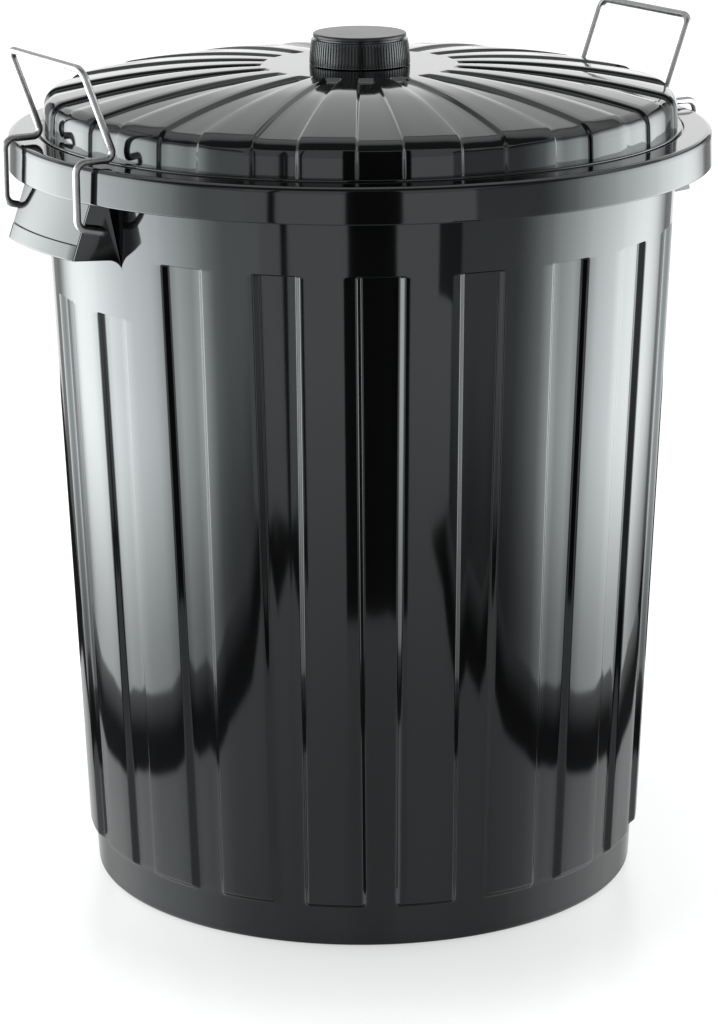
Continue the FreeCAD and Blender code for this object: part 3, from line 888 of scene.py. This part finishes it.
# %% [markdown]
# ## Finishes
#
# The tub and lid are glossy black plastic. A plain glossy shader would mirror like glass, but a
# moulding is never quite flat: a long, very shallow ripple in the normal makes the reflections waver
# as they do on the real one, and a faint change of gloss breaks them up. The cap is the same black
# but satin, and duller on its top disc. The wires are drawn steel, a little uneven in shade and
# gloss, and the liner in the cap is pale foam with small cells.

# %% Make the black plastics
BLACK = (0.003, 0.003, 0.0033)
COOL_GLOSS = (0.93, 0.985, 1)
PLASTIC_IOR = 1.52
fine_times = 5
fine_share = 0.1
patch_scale = 30.0
disc_gloss_start = (cap_top - 3.5) * MM
disc_gloss_end = (cap_top - 1) * MM


def black_plastic(name, gloss, gloss_change, ripples, ripple_depth, disc_gloss=None):
    """Plastic whose roughness and normal follow slow noise on the piece's own coordinates.

    The normal has a long ripple with a tenth of a finer one. The roughness is gloss, or disc_gloss
    on the cap's top disc, plus gloss_change times a noise about 0.
    """
    material, start = new_material(name)
    place = own_place(start)
    ripple = noise(place, ripples, detail=1.0)
    fine = noise(place, fine_times * ripples, detail=1.0)
    bump = bumped(ripple + fine_share * fine, ripple_depth)
    patches = noise(place, patch_scale, detail=3.0) - 0.5
    if disc_gloss is not None:
        gloss = fade(height_of(place), disc_gloss_start, disc_gloss_end, gloss, disc_gloss)
    finish_material(start, "ShaderNodeBsdfPrincipled", {
        "Base Color": (*BLACK, 1), "Roughness": gloss + gloss_change * patches, "Normal": bump,
        "IOR": PLASTIC_IOR, "Specular Tint": (*COOL_GLOSS, 1)})
    return material


finishes = {
    "black_plastic": black_plastic(
        "black_plastic", gloss=0.07, gloss_change=0.03, ripples=9.0, ripple_depth=0.00016),
    "cap_plastic": black_plastic(
        "cap_plastic", gloss=0.22, gloss_change=0.06, ripples=20.0, ripple_depth=0.00003,
        disc_gloss=0.34),
}
print("plastics:", ", ".join(finishes))

# %% Make the steel and the foam
STEEL_DARK = (0.26, 0.26, 0.262)
STEEL_LIGHT = (0.42, 0.42, 0.427)
# The darker foam colour sits in the cells' hollows: painted shade.
FOAM_HOLLOW_PAINTED_SHADE = (0.4, 0.4, 0.38)
FOAM_LIGHT = (0.64, 0.64, 0.62)
steel_scale = 220.0
steel_gloss = 0.34
steel_gloss_change = 0.1
foam_scale = 900.0
foam_depth = 0.0003
foam_gloss = 0.7
foam_gloss_change = 0.2


def steel_wire():
    """Drawn steel: a metal whose shade and gloss change a little from place to place."""
    material, start = new_material("steel_wire")
    patches = noise(own_place(start), steel_scale, detail=2.0)
    finish_material(start, "ShaderNodeBsdfPrincipled", {
        "Base Color": mixed(patches, STEEL_DARK, STEEL_LIGHT), "Metallic": 1.0,
        "Roughness": steel_gloss + steel_gloss_change * patches})
    return material


def liner_foam():
    """Pale sealing foam: small cells with painted shade in their hollows, and a bump of the same
    pattern.
    """
    material, start = new_material("liner_foam")
    cells = noise(own_place(start), foam_scale, detail=3.0)
    finish_material(start, "ShaderNodeBsdfPrincipled", {
        "Base Color": mixed(cells, FOAM_HOLLOW_PAINTED_SHADE, FOAM_LIGHT),
        "Roughness": foam_gloss + foam_gloss_change * cells, "Normal": bumped(cells, foam_depth)})
    return material


finishes["steel_wire"] = steel_wire()
finishes["liner"] = liner_foam()
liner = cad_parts["cap_liner"]
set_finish(liner, "liner")
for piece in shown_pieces():
    piece.data.materials.clear()
    piece.data.materials.append(finishes[piece["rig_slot"]])
print("finishes:", ", ".join(finishes))

# %% [markdown]
# ## The camera
#
# The camera could be set by eye, but its place and lens were worked out from the circles and edges of
# the photograph. It stands in front of the tub, swung to the left of the Y axis, and looks down. The
# heading and the rightward direction are kept, because the studio is laid out along them.

# %% Place the camera
camera_swing = math.radians(30.4)
camera_turn = math.radians(-0.05)
camera_pitch = math.radians(15.65)
camera_roll = math.radians(-0.3)
camera_distance = 2510.3 * MM
camera_height = 962.5 * MM
picture_height = 1024
focal_pixels = 3561.5
sensor = 36.0
camera = bpy.data.objects.new("camera", bpy.data.cameras.new("camera"))
bpy.context.scene.collection.objects.link(camera)
heading = Vector((math.sin(camera_swing), math.cos(camera_swing), 0))
rightward = Vector((math.cos(camera_swing), -math.sin(camera_swing), 0))
up = Vector((0, 0, 1))
spot = heading * -camera_distance + up * camera_height
facing = Matrix.Rotation(-camera_swing - camera_turn, 4, "Z")
leaning = Matrix.Rotation(math.pi / 2 - camera_pitch, 4, "X")
rolled = Matrix.Rotation(camera_roll, 4, "Z")
camera.matrix_world = Matrix.Translation(spot) @ facing @ leaning @ rolled
camera.data.sensor_width = sensor
camera.data.lens = focal_pixels * sensor / picture_height
bpy.context.scene.camera = camera
print(f"lens {camera.data.lens:.1f} mm")

# %% [markdown]
# ## The studio
#
# Black plastic is seen by what it mirrors, so lamps alone would leave it black with a few spots. The
# studio is a pale floor under an even white sky, with a tall soft panel at each side, a low bright
# backdrop, a dim ceiling, and narrow dark cards in front that are seen only in mirrors and paint dark
# reflections onto the plastic. All of them but the floor are hidden from the camera, and what is only
# there to be mirrored casts no shadow. Places in the studio are given in metres to the right of the
# tub, towards the camera and up.

# %% Cards of the studio
def grey(level):
    """A colour of one grey."""
    return (level, level, level, 1)


def card(name, middle, along, upward, material, seen=False, mirrored_only=False):
    """A flat four-cornered card: middle +- along +- upward. If only mirrored, it casts no shadow."""
    corners = [middle - along - upward, middle + along - upward,
               middle + along + upward, middle - along + upward]
    mesh = bpy.data.meshes.new(name)
    mesh.from_pydata(corners, [], [(0, 1, 2, 3)])
    mesh.materials.append(material)
    piece = bpy.data.objects.new(name, mesh)
    bpy.context.scene.collection.objects.link(piece)
    piece.visible_camera = seen
    piece.visible_diffuse = not mirrored_only
    piece.visible_shadow = not mirrored_only
    print(f"{name}: {2 * along.length:.2f} by {2 * upward.length:.2f} m")


def upright(name, right, near, low, high, along, material, mirrored_only=False):
    """An upright card at a place in the studio, from one height to another."""
    middle = rightward * right - heading * near + up * (low + high) / 2
    card(name, middle, along, up * (high - low) / 2, material, mirrored_only=mirrored_only)


def measure(place, direction):
    """How far a place lies along a direction from the middle of the tub, in metres."""
    return place.node(
        "ShaderNodeVectorMath", {0: place, 1: direction}, out="Value", operation="DOT_PRODUCT")


print(f"the studio lies along {heading.x:.2f}, {heading.y:.2f}")

# %% [markdown]
# ## The floor
#
# A white floor lit by lamps would need so much light that the object bleaches. So the floor glows
# white to the camera, dimmed near the tub as painted shade round its base, and only a small part of it
# is lit, which keeps the shadow, with a little sheen for the mirror image of the tub. Transmission
# rays see the same glow. Glossy rays see it with a wider painted shade round the tub, and with black
# strips painted in as dark reflections at the panels' feet and behind the tub, where the plastic shows
# them.
# All other rays see a middle grey. A fade is given as where it starts, where it ends and its level at
# both.

# %% Paint the floor
# Black of the dark reflections painted into the floor for mirror rays, and of the cards seen only in
# mirrors.
PAINTED_REFLECTION_BLACK = 0.012
dark_reflection_side = (0.39, 0.41, 0, 1)
dark_reflection_thinner = (0.47, 0.575, 1, 0.4)
dark_reflection_back = (-0.95, -0.9, 0, 1)
dark_reflection_front = (0.9, 0.95, 1, 0)
behind_inner = (0.23, 0.26, 0, 1)
behind_outer = (0.6, 0.7, 1, 0)
behind_back = (-1.5, -1.4, 0, 1)
behind_front = (-0.45, -0.4, 1, 0)
# Floor glow by distance from the tub, dimmer near it: a painted shade round the base, wider for mirror
# rays.
painted_shade_glow_mirrored = (0.3, 1.6, 0.25, 1)
painted_shade_glow_seen = (0.24, 0.45, 0.55, 0.9)
floor_grey = 0.42
floor_lit = 0.2
floor_sheen = 0.12
sheen_roughness = 0.3
floor_level = -0.0005
floor_half = 15.0


def painted_dark_reflection(place):
    """1 where dark reflections are painted for mirror rays: the larger of a strip along each side and
    a patch at each side behind.
    """
    sideways = measure(place, rightward)
    outward = sideways.maths("ABSOLUTE", sideways, 0.0)
    nearer = measure(place, -heading)
    strips = fade(outward, *dark_reflection_side) * fade(outward, *dark_reflection_thinner)
    strips = strips * fade(nearer, *dark_reflection_back) * fade(nearer, *dark_reflection_front)
    behind = fade(outward, *behind_inner) * fade(outward, *behind_outer)
    behind = behind * fade(nearer, *behind_back) * fade(nearer, *behind_front)
    return strips.maths("MAXIMUM", strips, behind)


def floor_paint():
    """White, dimmed near the tub as painted shade, with dark reflections painted in for mirror rays,
    to three kinds of ray, and grey to all others.
    """
    material, start = new_material("floor_paint")
    place = own_place(start)
    camera_ray, glossy_ray, transmission_ray = (
        start.node("ShaderNodeLightPath", {}, out=f"Is {kind} Ray")
        for kind in ("Camera", "Glossy", "Transmission"))
    away = start.node("ShaderNodeVectorMath", {0: place}, out="Value", operation="LENGTH")
    # Painted shade: the glow is dimmer near the tub, for the camera and for mirror rays.
    bright = glossy_ray * fade(away, *painted_shade_glow_mirrored) + (1 - glossy_ray) * fade(away, *painted_shade_glow_seen)
    plain = start.node("ShaderNodeBsdfDiffuse", {"Color": grey(floor_grey)})
    lit = start.node("ShaderNodeBsdfDiffuse", {"Color": grey(floor_lit)})
    sheen = start.node(
        "ShaderNodeBsdfGlossy", {"Color": grey(floor_sheen), "Roughness": sheen_roughness})
    glow = start.node("ShaderNodeEmission", {"Color": grey(1), "Strength": bright})
    soft = start.node("ShaderNodeAddShader", {0: lit, 1: sheen})
    white = start.node("ShaderNodeAddShader", {0: soft, 1: glow})
    black = start.node("ShaderNodeBsdfDiffuse", {"Color": grey(PAINTED_REFLECTION_BLACK)})
    # Painted dark reflections: mirror rays see black where the strips lie.
    dark_reflection_mask = glossy_ray * painted_dark_reflection(place)
    shown = start.node("ShaderNodeMixShader", {0: dark_reflection_mask, 1: white, 2: black})
    factor = camera_ray + glossy_ray + transmission_ray
    finish_material(start, "ShaderNodeMixShader", {0: factor, 1: plain, 2: shown})
    return material


card("floor", up * floor_level, rightward * floor_half, heading * floor_half, floor_paint(),
     seen=True)

# %% [markdown]
# ## Panels, cards and ceiling
#
# The panels make the broad bright bands on both sides of the tub. They fade towards the camera and
# the back, and they are dimmer at the foot and dark at the top edge, as a soft box is. A black card
# and a thin stand in front are seen only in mirrors: they are painted dark reflections, the dark bands
# in the middle. A small grey card at the right, also seen only in mirrors, paints shade onto the
# bracket's side. The backdrop brightens the far outline, and the ceiling is grey behind, bright over
# the tub and dark towards the camera, which gives the dome its bands.

# %% Light the panels, the backdrop and the ceiling
PANEL_COLOUR = (0.97, 1, 1, 1)
panel_back = (-0.55, 0.0, 0.06, 1)
panel_foot = (0.0, 0.25, 0.38, 1)
panel_upper = (0.3, 0.55, 1, 0.8)
panel_edge = (0.62, 0.78, 1, 0.1)
backdrop_fade = (1.35, 1.85, 1.6, 1)
ceiling_back = (-1.75, -0.35, 0.3, 1.1)
ceiling_front = (0.0, 0.5, 1, 0.1)


def glowing(name, strength_at, colour=grey(1)):
    """A card that shines with a strength worked out from the place on it."""
    material, start = new_material(name)
    strength = strength_at(own_place(start))
    finish_material(start, "ShaderNodeEmission", {"Color": colour, "Strength": strength})
    return material


def panel_light(name, peak, panel_front):
    """Soft panel: a peak beside the tub, times its fades to the front, back, foot and top."""
    def strength(place):
        above, nearer = height_of(place), measure(place, -heading)
        along = fade(nearer, *panel_front) * fade(nearer, *panel_back)
        level = fade(above, *panel_foot) * fade(above, *panel_upper) * fade(above, *panel_edge)
        return peak * along * level

    return glowing(name, strength, PANEL_COLOUR)


def back_light():
    """Low backdrop, brighter than the sky and fading into it upwards."""
    return glowing("back_light", lambda place: fade(height_of(place), *backdrop_fade))


def ceiling_light():
    """Dim ceiling: grey at its back edge, brightest over the tub and dark half a metre before it."""
    def strength(place):
        nearer = measure(place, -heading)
        return fade(nearer, *ceiling_back) * fade(nearer, *ceiling_front)

    return glowing("ceiling_light", strength)


def matt_card(name, shade):
    """A plain unglossy card of one grey."""
    material, start = new_material(name)
    finish_material(start, "ShaderNodeBsdfDiffuse", {"Color": grey(shade)})
    return material


print("lights ready: panels, backdrop and ceiling")

# %% Set up the panels and cards
panel_out = 0.57
panel_half = 0.9
panel_tall = 0.8
panels = (
    (1, "right", 7.6, (0.05, 0.5, 1, 0.09)),
    (-1, "left", 8.5, (0.15, 0.62, 1, 0.18)),
)
# front_card and stand are seen only in mirrors: painted dark reflections, the dark bands in the middle
# of the plastic.
front_near = 0.8
front_tall = 1.0
front_cards = (("front_card", 0.045, 0.105), ("stand", -0.357, 0.017))
# A small grey card seen only in mirrors: painted shade on the bracket's side, as a dark reflection.
painted_shade_card_right, painted_shade_card_near = 0.177, 0.403
painted_shade_card_heights = (0.397, 0.485)
painted_shade_card_half = 0.026
painted_shade_card_grey = 0.12
bracket_ray_right, bracket_ray_near = 0.833, 0.554
backdrop_near = -3.2
backdrop_heights = (0.6, 1.9)
backdrop_half = 2.0
ceiling_near = 0.15
ceiling_height = 2.0
ceiling_half_width = 2.5
ceiling_half_length = 1.75
# The black card and the grey card are seen only in mirrors: painted dark reflections and painted shade
# on the bracket's side.
black_card = matt_card("black_card", PAINTED_REFLECTION_BLACK)
painted_shade_material = matt_card("painted_shade_material", painted_shade_card_grey)
for side, hand, peak, panel_front in panels:
    light = panel_light(f"panel_light_{hand}", peak, panel_front)
    upright(f"panel_{hand}", side * panel_out, 0, 0, panel_tall, heading * panel_half, light)
for name, right, half in front_cards:
    upright(name, right, front_near, 0, front_tall, rightward * half, black_card, mirrored_only=True)
across_ray = rightward * -bracket_ray_near - heading * bracket_ray_right
upright("painted_shade_card", painted_shade_card_right, painted_shade_card_near, *painted_shade_card_heights,
        across_ray * painted_shade_card_half, painted_shade_material, mirrored_only=True)
upright("backdrop", 0, backdrop_near, *backdrop_heights, rightward * backdrop_half, back_light())
card("ceiling", up * ceiling_height - heading * ceiling_near, rightward * ceiling_half_width,
     heading * ceiling_half_length, ceiling_light())

# %% [markdown]
# ## Sky
#
# The sky is plain white at a strength of 1, so that a colour renders about as it is written.

# %% Set the sky
world = bpy.data.worlds.new("studio_sky")
world.use_nodes = True
world.node_tree.nodes.clear()
sky = Shade(world.node_tree)
background = sky.node("ShaderNodeBackground", {"Color": grey(1), "Strength": 1.0})
sky.node("ShaderNodeOutputWorld", {"Surface": background})
bpy.context.scene.world = world
bpy.context.scene.view_settings.view_transform = "Standard"
print("studio ready")
